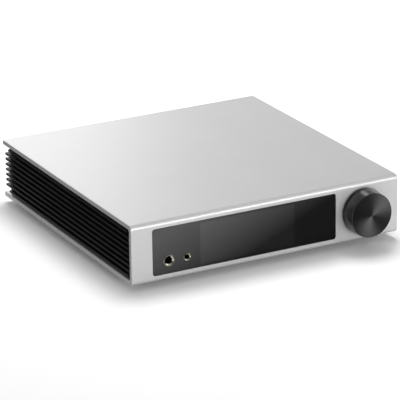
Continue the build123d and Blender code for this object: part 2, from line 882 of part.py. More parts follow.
large_jack_ferrule = make_ferrule(large_jack_x, large_ferrule_radius, large_jack_bore, large_mouth_chamfer)
save(large_jack_ferrule, "large_jack_ferrule")
large_jack_body = make_jack_body(
    large_jack_x, large_jack_width, large_jack_top_height, large_jack_depth, large_jack_bore
)
save(large_jack_body, "large_jack_body")
small_jack_ferrule = make_ferrule(small_jack_x, small_ferrule_radius, small_jack_bore, small_mouth_chamfer)
save(small_jack_ferrule, "small_jack_ferrule")
small_jack_body = make_jack_body(
    small_jack_x, small_jack_width, small_jack_top_height, small_jack_depth, small_jack_bore
)
save(small_jack_body, "small_jack_body")


def make_board(left, front, width, depth, screws):
    """Circuit board with a hole for each of its screws."""
    with BuildPart() as board:
        block(onward(left, width), onward(front, depth), (board_z, board_top_z))
        with Locations(*[(x, y, board_top_z) for x, y in screws]):
            Hole(screw_radius + fit_gap, board_thickness + cut_overrun)
    return board


headphone_board = make_board(
    headphone_board_left, headphone_board_front, headphone_board_width, headphone_board_depth,
    headphone_screws,
)
save(headphone_board, "headphone_board")
main_board = make_board(main_board_left, main_board_front, main_board_width, main_board_depth, main_screws)
save(main_board, "main_board")
power_supply_board = make_board(
    supply_board_left, supply_board_front, supply_board_width, supply_board_depth, supply_screws
)
save(power_supply_board, "power_supply_board")

with BuildPart() as standoffs:
    with BuildSketch(Plane.XY.offset(floor_z)):
        with Locations(*(main_screws + supply_screws + headphone_screws)):
            RegularPolygon(standoff_flats / 2, 6, major_radius=False)
            Circle(screw_radius + fit_gap, mode=Mode.SUBTRACT)
    extrude(amount=standoff_height)
save(standoffs, "standoffs")

# Balanced sockets and their pins
xlr_z = board_top_z + xlr_block_height / 2
xlr_mouth_y = panel_out_y + xlr_neck_reach
xlr_cavity_y = xlr_mouth_y - xlr_cavity_depth
with BuildPart() as xlr_sockets:
    for place in xlr_places:
        block(
            about(place, xlr_block_width), (panel_in_y - xlr_block_depth, panel_in_y),
            onward(board_top_z, xlr_block_height),
        )
        rod(place, xlr_z, xlr_neck_radius, (panel_in_y, xlr_mouth_y))
        rod(place, xlr_z, xlr_cavity_radius, (xlr_cavity_y, xlr_mouth_y + cut_overrun), Mode.SUBTRACT)
        block(
            about(place, xlr_key_width), (xlr_cavity_y, xlr_mouth_y),
            onward(xlr_z - xlr_cavity_radius - xlr_key_depth, 2 * xlr_key_depth),
        )
save(xlr_sockets, "xlr_sockets")

with BuildPart() as xlr_pins:
    for place in xlr_places:
        with BuildSketch(facing(xlr_cavity_y)):
            with Locations((place, xlr_z)):
                with PolarLocations(xlr_pin_circle_radius, 3, start_angle=90, angular_range=360):
                    Circle(xlr_pin_radius)
        extrude(amount=-xlr_pin_length)
save(xlr_pins, "xlr_pins")

# Phono sockets: a moulded block with insulators, and the metal shells around them
rca_sockets = (
    (rca_pair_place, board_top_z + rca_first_height),
    (rca_pair_place, board_top_z + rca_second_height),
    (rca_digital_place, board_top_z + rca_first_height),
)
rca_tip_y = panel_out_y + rca_length
rca_insulator_y = rca_tip_y - rca_insulator_inset
rca_shell_inside = rca_shell_radius - rca_shell_wall
with BuildPart() as rca_housings:
    for place, height in ((rca_pair_place, rca_second_height), (rca_digital_place, rca_first_height)):
        block(
            about(place, rca_block_width), (panel_in_y - rca_block_depth, panel_in_y),
            onward(board_top_z, height + rca_block_margin),
        )
    for x, z in rca_sockets:
        rod(x, z, rca_shell_inside - rca_insulator_gap, (panel_in_y, rca_insulator_y))
        rod(x, z, rca_contact_radius, (rca_insulator_y - rca_contact_depth, rca_tip_y), Mode.SUBTRACT)
save(rca_housings, "rca_housings")

with BuildPart() as rca_shells:
    for x, z in rca_sockets:
        rod(x, z, rca_shell_radius + rca_hole_gap - fit_gap, (panel_in_y, panel_out_y))
        rod(x, z, rca_shell_radius, (panel_out_y, rca_tip_y))
        rod(x, z, rca_shell_inside, (panel_in_y, rca_tip_y), Mode.SUBTRACT)
save(rca_shells, "rca_shells")

# Optical socket and the shutter that swings in under a plug
optical_face_y = panel_out_y + socket_proud
optical_z = board_top_z + optical_height / 2
shutter_size = optical_mouth - 2 * slide_gap
shutter_y = optical_face_y - shutter_inset - shutter_thickness / 2
shutter_pin_z = optical_z + optical_mouth / 2 - shutter_pin_drop
with BuildPart() as optical_socket:
    block(
        about(optical_place, optical_width), (panel_in_y - optical_depth, optical_face_y),
        onward(board_top_z, optical_height),
    )
    block(
        about(optical_place, optical_mouth),
        (optical_face_y - optical_mouth_depth, optical_face_y + cut_overrun),
        about(optical_z, optical_mouth), Mode.SUBTRACT,
    )
    with Locations((optical_place, shutter_y, shutter_pin_z)):
        Cylinder(
            shutter_pin_radius + running_gap, optical_mouth + 2 * shutter_pin_length + 2 * fit_gap,
            rotation=(0, 90, 0), mode=Mode.SUBTRACT,
        )
save(optical_socket, "optical_socket")

with BuildPart() as optical_shutter:
    block(
        about(optical_place, shutter_size), about(shutter_y, shutter_thickness),
        (optical_z - shutter_size / 2, shutter_pin_z),
    )
    with Locations((optical_place, shutter_y, shutter_pin_z)):
        Cylinder(shutter_pin_radius, optical_mouth + 2 * shutter_pin_length, rotation=(0, 90, 0))
save(optical_shutter, "optical_shutter")


def make_usb_socket(place, width, height, depth, mouth_width, mouth_height, tongue_width, tongue_height):
    """Metal shell with a mouth and a contact tongue in it."""
    face_y = panel_out_y + socket_proud
    back_y = panel_in_y - depth
    middle_z = board_top_z + height / 2
    with BuildPart() as usb_socket:
        block(about(place, width), (back_y, face_y), onward(board_top_z, height))
        block(
            about(place, mouth_width), (back_y + usb_back_wall, face_y + cut_overrun),
            about(middle_z, mouth_height), Mode.SUBTRACT,
        )
        block(about(place, tongue_width), (back_y, panel_in_y), about(middle_z, tongue_height))
    return usb_socket


usb_device_socket = make_usb_socket(
    usb_device_place, usb_device_width, usb_device_height, usb_device_depth,
    usb_device_mouth_width, usb_device_mouth_height, usb_device_tongue_width, usb_device_tongue_height,
)
save(usb_device_socket, "usb_device_socket")
usb_host_socket = make_usb_socket(
    usb_host_place, usb_host_width, usb_host_height, usb_host_depth,
    usb_host_mouth_width, usb_host_mouth_height, usb_host_tongue_width, usb_host_tongue_height,
)
save(usb_host_socket, "usb_host_socket")

network_face_y = panel_out_y + socket_proud
network_mouth_z = board_top_z + socket_floor + network_latch_height
with BuildPart() as network_socket:
    block(
        about(network_place, network_width), (panel_in_y - network_depth, network_face_y),
        onward(board_top_z, network_height),
    )
    block(
        about(network_place, network_mouth_width),
        (network_face_y - network_mouth_depth, network_face_y + cut_overrun),
        onward(network_mouth_z, network_mouth_height), Mode.SUBTRACT,
    )
    block(
        about(network_place, network_latch_width),
        (network_face_y - network_mouth_depth, network_face_y + cut_overrun),
        onward(board_top_z + socket_floor, 2 * network_latch_height), Mode.SUBTRACT,
    )
save(network_socket, "network_socket")

# Aerial window and the aerial board behind it
aerial_lip_y = panel_in_y - aerial_lip_thickness
with BuildPart() as aerial_window:
    block(
        about(network_place, aerial_window_width), (aerial_lip_y, panel_out_y),
        about(aerial_z, aerial_window_height),
    )
    block(
        about(network_place, aerial_window_width + 2 * aerial_lip), (aerial_lip_y, panel_in_y),
        about(aerial_z, aerial_window_height + 2 * aerial_lip),
    )
save(aerial_window, "aerial_window")

with BuildPart() as aerial_board:
    block(
        about(network_place, aerial_window_width), (aerial_lip_y - aerial_board_thickness, aerial_lip_y),
        about(aerial_z, aerial_window_height),
    )
save(aerial_board, "aerial_board")

# Mains inlet: flange, body, the mouth with three pins and the slot for the fuse drawer
inlet_face_y = panel_out_y + inlet_flange_thickness
inlet_back_y = panel_in_y - inlet_body_depth
inlet_mouth_z = inlet_z + inlet_mouth_rise
inlet_mouth_y = inlet_face_y - inlet_mouth_depth
drawer_z = inlet_z - drawer_drop
drawer_back_y = inlet_face_y - drawer_length
with BuildPart() as mains_inlet:
    with BuildSketch(facing(panel_out_y)):
        with Locations((inlet_place, inlet_z)):
            RectangleRounded(inlet_flange_width, inlet_flange_height, inlet_flange_corner)
    extrude(amount=-inlet_flange_thickness)
    block(
        about(inlet_place, inlet_body_width), (inlet_back_y, panel_out_y), about(inlet_z, inlet_body_height)
    )
    with BuildSketch(facing(inlet_mouth_y)) as mouth:
        with Locations((inlet_place, inlet_mouth_z)):
            Rectangle(inlet_mouth_width, inlet_mouth_height)
        chamfer(mouth.vertices().group_by(Axis.Y)[-1], inlet_mouth_corner)
    extrude(amount=-(inlet_mouth_depth + cut_overrun), mode=Mode.SUBTRACT)
    block(
        about(inlet_place, drawer_width + 2 * slide_gap),
        (drawer_back_y - drawer_end_gap, inlet_face_y + cut_overrun),
        about(drawer_z, drawer_height + 2 * slide_gap), Mode.SUBTRACT,
    )
save(mains_inlet, "mains_inlet")

inlet_pin_places = (
    (inlet_place - inlet_pin_pitch / 2, inlet_mouth_z),
    (inlet_place + inlet_pin_pitch / 2, inlet_mouth_z),
    (inlet_place, inlet_mouth_z + inlet_earth_rise),
)
with BuildPart() as inlet_pins:
    with BuildSketch(facing(inlet_mouth_y)):
        with Locations(*inlet_pin_places):
            Rectangle(inlet_pin_width, inlet_pin_height)
    extrude(amount=-inlet_pin_length)
save(inlet_pins, "inlet_pins")

# Fuse drawer, open at the top, with the fuse lying across it
fuse_y = drawer_back_y + drawer_wall + fit_gap + fuse_radius
fuse_z = drawer_z - drawer_height / 2 + drawer_wall + fuse_radius
with BuildPart() as fuse_drawer:
    block(about(inlet_place, drawer_width), (drawer_back_y, inlet_face_y), about(drawer_z, drawer_height))
    block(
        about(inlet_place, drawer_width - 2 * drawer_wall),
        (drawer_back_y + drawer_wall, inlet_face_y - drawer_front_thickness),
        (drawer_z - drawer_height / 2 + drawer_wall, drawer_z + drawer_height), Mode.SUBTRACT,
    )
    block(
        about(inlet_place, drawer_width / 2), onward(inlet_face_y, drawer_lip_depth),
        onward(drawer_z + drawer_height / 2 - 2 * drawer_lip_height, drawer_lip_height),
    )
save(fuse_drawer, "fuse_drawer")

with BuildPart() as fuse:
    with Locations((inlet_place, fuse_y, fuse_z)):
        Cylinder(fuse_body_radius, fuse_length, rotation=(0, 90, 0))
    cap_offset = (fuse_length - fuse_cap_length) / 2
    with Locations((inlet_place - cap_offset, fuse_y, fuse_z), (inlet_place + cap_offset, fuse_y, fuse_z)):
        Cylinder(fuse_radius, fuse_cap_length, rotation=(0, 90, 0))
save(fuse, "fuse")

# Mains switch: a housing and a rocker that rests in its off position
switch_face_y = panel_out_y + inlet_flange_thickness
rocker_y = switch_face_y - rocker_pivot_sink
rocker_reach = (rocker_half_height**2 + rocker_rise**2) ** 0.5
switch_cavity_height = 2 * (rocker_reach + 2 * slide_gap)
switch_back_y = panel_in_y - switch_body_depth
with BuildPart() as power_switch_housing:
    with BuildSketch(facing(panel_out_y)):
        with Locations((switch_place, inlet_z)):
            RectangleRounded(switch_flange_width, switch_flange_height, inlet_flange_corner)
    extrude(amount=-inlet_flange_thickness)
    block(
        about(switch_place, switch_body_width), (switch_back_y, panel_out_y),
        about(inlet_z, switch_body_height),
    )
    block(
        about(switch_place, rocker_width + 2 * slide_gap),
        (rocker_y - switch_cavity_depth, switch_face_y + cut_overrun),
        about(inlet_z, switch_cavity_height), Mode.SUBTRACT,
    )
    with Locations((switch_place, rocker_y, inlet_z)):
        Cylinder(
            rocker_pin_radius + running_gap, rocker_width + 2 * slide_gap + 2 * rocker_pin_length,
            rotation=(0, 90, 0), mode=Mode.SUBTRACT,
        )
save(power_switch_housing, "power_switch_housing")

rocker_outward = Vector(0, 1, 0).rotate(Axis.X, -rocker_tilt)
rocker_plane = Plane(origin=(switch_place, rocker_y, inlet_z), x_dir=rocker_outward, z_dir=(1, 0, 0))
with BuildPart() as power_rocker:
    with BuildSketch(rocker_plane):
        with BuildLine():
            Polyline(
                (rocker_dip_height, 0),
                (rocker_rise, rocker_half_height),
                (0, rocker_half_height),
                (-rocker_keel_depth, rocker_keel_half),
                (-rocker_keel_depth, -rocker_keel_half),
                (0, -rocker_half_height),
                (rocker_rise, -rocker_half_height),
                close=True,
            )
        make_face()
    extrude(amount=rocker_width / 2, both=True)
    with Locations((switch_place, rocker_y, inlet_z)):
        Cylinder(
            rocker_pin_radius, rocker_width + 2 * slide_gap + 2 * rocker_pin_length - 2 * fit_gap,
            rotation=(0, 90, 0),
        )
save(power_rocker, "power_rocker")


def on_board(left, front, width, depth, shares):
    """Place on a board, given as shares of its width and depth."""
    return (left + shares[0] * width, front + shares[1] * depth)


def on_supply_board(shares):
    return on_board(supply_board_left, supply_board_front, supply_board_width, supply_board_depth, shares)


def on_main_board(shares):
    return on_board(main_board_left, main_board_front, main_board_width, main_board_depth, shares)


def on_headphone_board(shares):
    return on_board(
        headphone_board_left, headphone_board_front, headphone_board_width, headphone_board_depth, shares
    )


# Power supply: transformer, capacitors, filter coil and the angle that carries heat to the right side
transformer_x = sink_inside - angle_foot - transformer_gap - transformer_width / 2
transformer_y = supply_board_front + transformer_share * supply_board_depth
winding_z = onward(board_top_z + winding_rise, winding_height)
winding_x = about(transformer_x, winding_width)
winding_y = about(transformer_y, winding_depth)
with BuildPart() as transformer_winding:
    block(winding_x, winding_y, winding_z)
    fillet(transformer_winding.edges().filter_by(Axis.Z), winding_rise)
save(transformer_winding, "transformer_winding")

with BuildPart() as transformer_core:
    block(
        about(transformer_x, transformer_width), about(transformer_y, transformer_depth),
        onward(board_top_z, transformer_height),
    )
    block(winding_x, about(transformer_y, winding_depth + cut_overrun), winding_z, Mode.SUBTRACT)
save(transformer_core, "transformer_core")

with BuildPart() as supply_capacitors:
    for shares in supply_capacitor_shares:
        x, y = on_supply_board(shares)
        post(x, y, supply_capacitor_radius, onward(board_top_z, supply_capacitor_height))
    fillet(supply_capacitors.edges().group_by(Axis.Z)[-1], component_edge_break)
save(supply_capacitors, "supply_capacitors")

coil_x, coil_y = on_supply_board(filter_coil_shares)
with BuildPart() as mains_filter_coil:
    post(coil_x, coil_y, filter_coil_radius, onward(board_top_z, filter_coil_height))
    fillet(mains_filter_coil.edges().filter_by(GeomType.CIRCLE), component_edge_break)
    post(coil_x, coil_y, filter_coil_hole, onward(board_top_z, filter_coil_height), Mode.SUBTRACT)
save(mains_filter_coil, "mains_filter_coil")

angle_y = onward(supply_board_front + angle_share * supply_board_depth, angle_length)
with BuildPart() as supply_heatsink:
    block((sink_inside - angle_thickness, sink_inside), angle_y, onward(board_top_z, angle_height))
    block((sink_inside - angle_foot, sink_inside), angle_y, onward(board_top_z, angle_thickness))
save(supply_heatsink, "supply_heatsink")

# Streaming module, its shield and the bridge that carries heat to the left side
module_x = onward(main_board_left + module_side_gap, module_width)
module_y = onward(main_board_front + module_share * main_board_depth, module_depth)
module_z = board_top_z + module_lift
module_centre = ((module_x[0] + module_x[1]) / 2, (module_y[0] + module_y[1]) / 2)
with BuildPart() as streaming_module:
    block(module_x, module_y, onward(module_z, module_thickness))
    for edge_y in (module_y[0], module_y[1] - module_connector_depth):
        block(
            about(module_centre[0], module_connector_width), onward(edge_y, module_connector_depth),
            (board_top_z, module_z),
        )
save(streaming_module, "streaming_module")

shield_z = onward(module_z + module_thickness, shield_height)
with BuildPart() as module_shield:
    block(about(module_centre[0], shield_width), about(module_centre[1], shield_width), shield_z)
    fillet(module_shield.edges().filter_by(Axis.Z), component_edge_break)
save(module_shield, "module_shield")

pad_z = onward(shield_z[1], pad_thickness)
with BuildPart() as thermal_pad:
    block(about(module_centre[0], pad_width), about(module_centre[1], pad_width), pad_z)
save(thermal_pad, "thermal_pad")

bridge_y = about(module_centre[1], shield_width)
with BuildPart() as heat_bridge:
    block((-sink_inside, module_centre[0] + pad_width / 2), bridge_y, onward(pad_z[1], bridge_thickness))
    block(onward(-sink_inside, bridge_thickness), bridge_y, onward(pad_z[1], bridge_height))
save(heat_bridge, "heat_bridge")

with BuildPart() as signal_chips:
    for shares in chip_shares:
        x, y = on_main_board(shares)
        block(about(x, chip_width), about(y, chip_width), onward(board_top_z, chip_height))
    for shares in clock_shares:
        x, y = on_main_board(shares)
        block(about(x, clock_width), about(y, clock_depth), onward(board_top_z, clock_height))
save(signal_chips, "signal_chips")

with BuildPart() as board_capacitors:
    for place in [on_main_board(shares) for shares in main_capacitor_shares]:
        post(*place, capacitor_radius, onward(board_top_z, capacitor_height))
    for place in [on_headphone_board(shares) for shares in headphone_capacitor_shares]:
        post(*place, capacitor_radius, onward(board_top_z, capacitor_height))
save(board_capacitors, "board_capacitors")

# Cables: display ribbon, headphone link, encoder lead and supply leads
ribbon_start_y = display_board_y[1]
ribbon_end_y = main_board_front + ribbon_lap
ribbon_low_z = board_top_z + ribbon_thickness / 2
link_start_y = headphone_board_front + headphone_board_depth - link_inset
link_end_y = main_board_front + link_inset
lead_y = main_board_front + lead_edge_inset
encoder_lead_z = knob_z + encoder_board_width / 2 - lead_run
encoder_lead_end = (main_board_right - 2 * lead_run, main_board_front + lead_run)
with BuildPart() as signal_cables:
    with BuildSketch(Plane.YZ.offset(display_x)):
        with BuildLine() as ribbon_route:
            FilletPolyline(
                (ribbon_start_y, window_z - ribbon_drop),
                (ribbon_start_y + ribbon_run, window_z - ribbon_drop),
                (ribbon_end_y - ribbon_run, ribbon_low_z),
                (ribbon_end_y, ribbon_low_z),
                radius=ribbon_bend,
            )
        trace(line_width=ribbon_thickness)
    extrude(amount=ribbon_width / 2, both=True)
    with BuildSketch(Plane.YZ.offset(large_jack_x)):
        with BuildLine() as link_route:
            FilletPolyline(
                (link_start_y, board_top_z),
                (link_start_y, board_top_z + link_rise),
                (link_end_y, board_top_z + link_rise),
                (link_end_y, board_top_z),
                radius=link_bend,
            )
        trace(line_width=link_thickness)
    extrude(amount=link_width / 2, both=True)
    with BuildLine() as encoder_route:
        FilletPolyline(
            (knob_x, encoder_board_y[1], encoder_lead_z),
            (knob_x, encoder_board_y[1] + lead_run, encoder_lead_z),
            (encoder_lead_end[0], encoder_lead_end[1], encoder_lead_z),
            (encoder_lead_end[0], encoder_lead_end[1], board_top_z),
            radius=lead_bend,
        )
    with BuildSketch(encoder_route.line ^ 0):
        Circle(lead_radius)
    sweep(path=encoder_route.line)
    for index in (0, 1):
        route_y = lead_y + index * lead_spacing
        with BuildLine() as supply_route:
            FilletPolyline(
                (supply_board_left + lead_spacing, route_y, board_top_z),
                (supply_board_left + lead_spacing, route_y, board_top_z + lead_rise),
                (main_board_right - lead_run, route_y, board_top_z + lead_rise),
                (main_board_right - lead_run, route_y, board_top_z),
                radius=lead_bend,
            )
        with BuildSketch(supply_route.line ^ 0):
            Circle(lead_radius)
        sweep(path=supply_route.line)
save(signal_cables, "signal_cables")

# Mains wires: from the inlet to the switch, and from the switch down to the supply board
mains_turn_y = inlet_back_y - lead_run
supply_back_y = supply_board_front + supply_board_depth
with BuildPart() as mains_wires:
    for index in (-1, 1):
        wire_z = inlet_z + index * lead_spacing
        with BuildLine() as switch_route:
            FilletPolyline(
                (inlet_place - lead_spacing, inlet_back_y, wire_z),
                (inlet_place - lead_spacing, mains_turn_y, wire_z),
                (switch_place + lead_spacing / 2, mains_turn_y, wire_z),
                (switch_place + lead_spacing / 2, switch_back_y, wire_z),
                radius=lead_bend,
            )
        with BuildSketch(switch_route.line ^ 0):
            Circle(lead_radius)
        sweep(path=switch_route.line)
    with BuildLine() as supply_feed:
        FilletPolyline(
            (switch_place - lead_spacing / 2, switch_back_y, inlet_z),
            (switch_place - lead_spacing / 2, supply_back_y - lead_run, inlet_z),
            (switch_place - lead_spacing / 2, supply_back_y - lead_run, board_top_z),
            radius=lead_bend,
        )
    with BuildSketch(supply_feed.line ^ 0):
        Circle(lead_radius)
    sweep(path=supply_feed.line)
save(mains_wires, "mains_wires")

print("origin at the middle of the footprint; length", round(total_length, 2), "height", round(top_z, 2))
places = {"front face y": front_y, "rear edge y": rear_y, "panel face y": panel_out_y}
print(", ".join(f"{name} {place:.2f}" for name, place in places.items()))
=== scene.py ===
import json
import math

import bmesh
import bpy
from mathutils import Matrix, Vector


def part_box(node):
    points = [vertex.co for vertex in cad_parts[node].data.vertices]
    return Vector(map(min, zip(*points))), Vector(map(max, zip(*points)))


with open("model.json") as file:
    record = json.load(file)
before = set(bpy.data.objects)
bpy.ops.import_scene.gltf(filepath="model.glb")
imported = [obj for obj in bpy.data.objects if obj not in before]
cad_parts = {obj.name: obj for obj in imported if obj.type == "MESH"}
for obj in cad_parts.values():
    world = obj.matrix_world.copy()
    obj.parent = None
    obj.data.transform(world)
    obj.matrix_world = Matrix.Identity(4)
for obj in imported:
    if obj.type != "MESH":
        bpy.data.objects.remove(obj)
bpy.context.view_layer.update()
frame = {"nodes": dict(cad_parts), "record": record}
nodes = frame["nodes"]
mm = 0.001    # metres in a millimetre
print("frame loaded,", len(nodes), "nodes")


# Shader expressions: a Value wraps one socket, and sums on it add Math nodes

class Value:
    def __init__(self, finish, socket):
        self.finish = finish
        self.socket = socket

    def output(self, name):
        return Value(self.finish, self.socket.node.outputs[name])

    def maths(self, operation, first, second=0.0):
        return self.finish.add("ShaderNodeMath", {"operation": operation}, {0: first, 1: second})

    def __add__(self, other):
        return self.maths("ADD", self, other)

    def __radd__(self, other):
        return self.maths("ADD", other, self)

    def __sub__(self, other):
        return self.maths("SUBTRACT", self, other)

    def __rsub__(self, other):
        return self.maths("SUBTRACT", other, self)

    def __mul__(self, other):
        return self.maths("MULTIPLY", self, other)

    def __rmul__(self, other):
        return self.maths("MULTIPLY", other, self)

    def __truediv__(self, other):
        return self.maths("DIVIDE", self, other)

    def __pow__(self, power):
        return self.maths("POWER", self, power)

    def __gt__(self, other):
        return self.maths("GREATER_THAN", self, other)

    def __lt__(self, other):
        return self.maths("LESS_THAN", self, other)

    def __abs__(self):
        return self.maths("ABSOLUTE", self)

    def atMost(self, other):
        return self.maths("MINIMUM", self, other)

    def atLeast(self, other):
        return self.maths("MAXIMUM", self, other)

    def repeat(self, length):
        return self.maths("FRACT", self / length)


class Finish:
    def __init__(self, name, tree=None):
        if tree is None:
            self.material = bpy.data.materials.new(name)
            self.material.use_nodes = True
            tree = self.material.node_tree
        self.tree = tree
        self.tree.nodes.clear()

    def add(self, kind, settings=None, sockets=None, output=0):
        node = self.tree.nodes.new(kind)
        for name, setting in (settings or {}).items():
            setattr(node, name, setting)
        for key, content in (sockets or {}).items():
            self.plug(node.inputs[key], content)
        return Value(self, node.outputs[output]) if node.outputs else node

    def plug(self, socket, content):
        if isinstance(content, Value):
            self.tree.links.new(content.socket, socket)
        elif socket.type == "RGBA" and len(content) == 3:
            socket.default_value = (*content, 1)
        else:
            socket.default_value = content

    def point(self, scale=(1, 1, 1), centre=(0, 0, 0)):
        place = self.add("ShaderNodeTexCoord", output="Object")
        offset = tuple(-c * s for c, s in zip(centre, scale))
        return self.add("ShaderNodeMapping", {}, {"Vector": place, "Location": offset, "Scale": scale})

    def axes(self, centre=(0, 0, 0)):
        split = self.add("ShaderNodeSeparateXYZ", {}, {0: self.point(centre=centre)})
        return [split.output(name) for name in ("X", "Y", "Z")]

    def gather(self, x, y, z):
        return self.add("ShaderNodeCombineXYZ", {}, {0: x, 1: y, 2: z})

    def noise(self, vector, size, detail=2.0, roughness=0.5):
        return self.add(
            "ShaderNodeTexNoise", {},
            {"Vector": vector, "Scale": 1 / size, "Detail": detail, "Roughness": roughness},
        )

    def fade(self, value, low, high, start=0.0, end=1.0, curve="SMOOTHSTEP"):
        return self.add(
            "ShaderNodeMapRange", {"interpolation_type": curve},
            {"Value": value, "From Min": low, "From Max": high, "To Min": start, "To Max": end},
        )

    def between(self, value, low, high, soft):
        return self.fade(value, low - soft, low + soft) * self.fade(value, high - soft, high + soft, 1.0, 0.0)

    def blend(self, mask, first, second):
        return self.add("ShaderNodeMix", {"data_type": "RGBA"}, {0: mask, 6: first, 7: second}, output=2)

    def tint(self, colour, value, low, high):    # the colour times low where value is 0, times high at 1
        dark = tuple(c * low for c in colour)
        pale = tuple(min(1.0, c * high) for c in colour)
        return self.blend(value, dark, pale)

    def scale(self, colour, factor):
        return self.add("ShaderNodeVectorMath", {"operation": "SCALE"}, {"Vector": colour, "Scale": factor})

    def bump(self, height, strength, distance):
        return self.add("ShaderNodeBump", {}, {"Strength": strength, "Distance": distance, "Height": height})

    def surface(self, sockets):
        shader = self.add("ShaderNodeBsdfPrincipled", {}, sockets)
        self.add("ShaderNodeOutputMaterial", {}, {"Surface": shader})
        return self.material


def radius(x, z):
    return (x * x + z * z) ** 0.5


def makeScratches(finish):
    return finish.noise(finish.point((1, 12, 12)), 4 * mm, 4.0, 0.7)


# Finishes, one maker each

aluminium = {
    "colour": (0.72, 0.72, 0.72),
    "metal": 0.38,
    "roughness": 0.30,
    "blastSize": 0.9 * mm,
    "blastDepth": 0.03 * mm,
    "cloudSize": 45 * mm,
}


def makeSatinAluminium():
    finish = Finish("satinAluminium")
    point = finish.point()
    blast = finish.noise(point, aluminium["blastSize"], 3.0, 0.65)
    cloud = finish.noise(point, aluminium["cloudSize"], 1.0)
    tone = blast * 0.8 + cloud * 0.2
    return finish.surface({
        "Base Color": finish.tint(aluminium["colour"], tone, 0.88, 1.12),
        "Metallic": aluminium["metal"],
        "Roughness": aluminium["roughness"] + tone * 0.12,
        "Normal": finish.bump(blast, 0.25, aluminium["blastDepth"]),
    })


blackAluminium = {
    "colour": (0.034, 0.034, 0.035),
    "metal": 0.6,
    "roughness": 0.36,
    "drawnSize": 0.5 * mm,    # lines along the fins
    "dustSize": 6 * mm,
}


def makeBlackAluminium():
    finish = Finish("blackAluminium")
    drawn = finish.noise(finish.point((1, 0.02, 1)), blackAluminium["drawnSize"], 3.0, 0.6)
    dust = finish.noise(finish.point(), blackAluminium["dustSize"])
    return finish.surface({
        "Base Color": finish.tint(blackAluminium["colour"], drawn * 0.6 + dust * 0.4, 0.6, 1.4),
        "Metallic": blackAluminium["metal"],
        "Roughness": blackAluminium["roughness"] + drawn * 0.14,
        "Normal": finish.bump(drawn, 0.3, 0.03 * mm),
    })


glass = {
    "colour": (0.004, 0.004, 0.0045),
    "index": 2.1,
    "roughness": 0.03,
    "wipeSize": 25 * mm,
    "displayColour": (0.009, 0.009, 0.010),    # the field of the display behind it
    "displayEdge": 0.5 * mm,
    "displayCoat": 0.9,
}


def makeCoverGlass():
    finish = Finish("coverGlass")
    low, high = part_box("display_panel")
    x, y, z = finish.axes()
    display = (
        finish.between(x, low.x, high.x, glass["displayEdge"])
        * finish.between(z, low.z, high.z, glass["displayEdge"])
    )
    wipe = finish.noise(finish.point((1, 1, 3)), glass["wipeSize"])
    return finish.surface({
        "Base Color": finish.blend(display, glass["colour"], glass["displayColour"]),
        "Roughness": glass["roughness"] + wipe * 0.03,
        "IOR": glass["index"],
        "Coat Weight": display * glass["displayCoat"],
        "Coat Roughness": glass["roughness"],
    })


knob = {
    "sideColour": (0.060, 0.060, 0.062),
    "rearShadeColour": (0.008, 0.008, 0.008),    # painted shade: the band next to the case, drawn near-black as if in shadow
    "rearShadeBand": 3.6 * mm,
    "rearShadeSoft": 0.8 * mm,
    "faceColour": (0.025, 0.025, 0.026),
    "faceDepth": 0.1 * mm,
    # painted highlight: the colour of the face's bright sectors, drawn into the face's colour
    "paintedSheenColour": (0.205, 0.205, 0.208),
    "paintedSheenSectors": ((38, 0.7), (242, 1.0)),    # degrees from straight right to a painted bright sector (a painted highlight), and its share
    "ringSize": 0.35 * mm,
    "grooveDepth": 0.05 * mm,
    "roughness": 0.24,
}


def makeDarkKnob():
    finish = Finish("darkKnob")
    low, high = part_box("volume_knob")
    middle = (low + high) / 2
    x, y, z = finish.axes(tuple(middle))
    reach = radius(x, z)
    rings = finish.noise(finish.gather(reach, y, 0.0), knob["ringSize"], 3.0, 0.7)
    wear = finish.noise(finish.point(), 5 * mm)
    # painted highlight: two bright sectors drawn into the face's colour stand in for the spun face's sheen,
    # and turn with the knob
    sheen = 0.0
    for degrees, share in knob["paintedSheenSectors"]:
        turn = math.radians(degrees)
        toward = (x * math.cos(turn) + z * math.sin(turn)) / reach
        sheen = sheen + toward.atLeast(0.0) ** 4 * share
    spunWithPaintedSheen = finish.blend(sheen, knob["faceColour"], knob["paintedSheenColour"])
    # painted shade: the side darkens to near-black over the band next to the case
    shadeStart = high.y - middle.y - knob["rearShadeBand"]
    paintedShade = finish.fade(y, shadeStart - knob["rearShadeSoft"], shadeStart + knob["rearShadeSoft"])
    side = finish.blend(paintedShade, knob["sideColour"], knob["rearShadeColour"])
    face = (y < (low.y - middle.y + knob["faceDepth"])) * 1.0
    grain = 0.8 + (rings * 0.7 + wear * 0.3) * 0.4
    return finish.surface({
        "Base Color": finish.scale(finish.blend(face, side, spunWithPaintedSheen), grain),
        "Metallic": 0.5 + face * 0.5,
        "Roughness": knob["roughness"] + (wear - 0.5) * 0.06,
        "Normal": finish.bump(rings * face, 0.8, knob["grooveDepth"]),
    })


gold = {
    "dark": (0.80, 0.66, 0.40),
    "pale": (0.92, 0.80, 0.54),
    "roughness": 0.10,
    "stainSize": 2 * mm,
    "lineSize": 0.6 * mm,
}


def makeGold():
    finish = Finish("gold")
    stain = finish.noise(finish.point(), gold["stainSize"])
    lines = finish.noise(finish.point((1, 8, 1)), gold["lineSize"])
    return finish.surface({
        "Base Color": finish.blend(stain, gold["dark"], gold["pale"]),
        "Metallic": 1.0,
        "Roughness": gold["roughness"] + lines * 0.10,
        "Normal": finish.bump(lines, 0.2, 0.01 * mm),
    })


jackRing = {
    "giltColour": (0.90, 0.86, 0.74),
    "rimColour": (0.34, 0.31, 0.24),    # the flat edge round the funnel
    "rimSoft": 0.05 * mm,
    "roughness": 0.12,
    "lineSize": 0.3 * mm,
    "funnels": {"large_jack_ferrule": 4.45 * mm, "small_jack_ferrule": 3.05 * mm},    # their radius
}


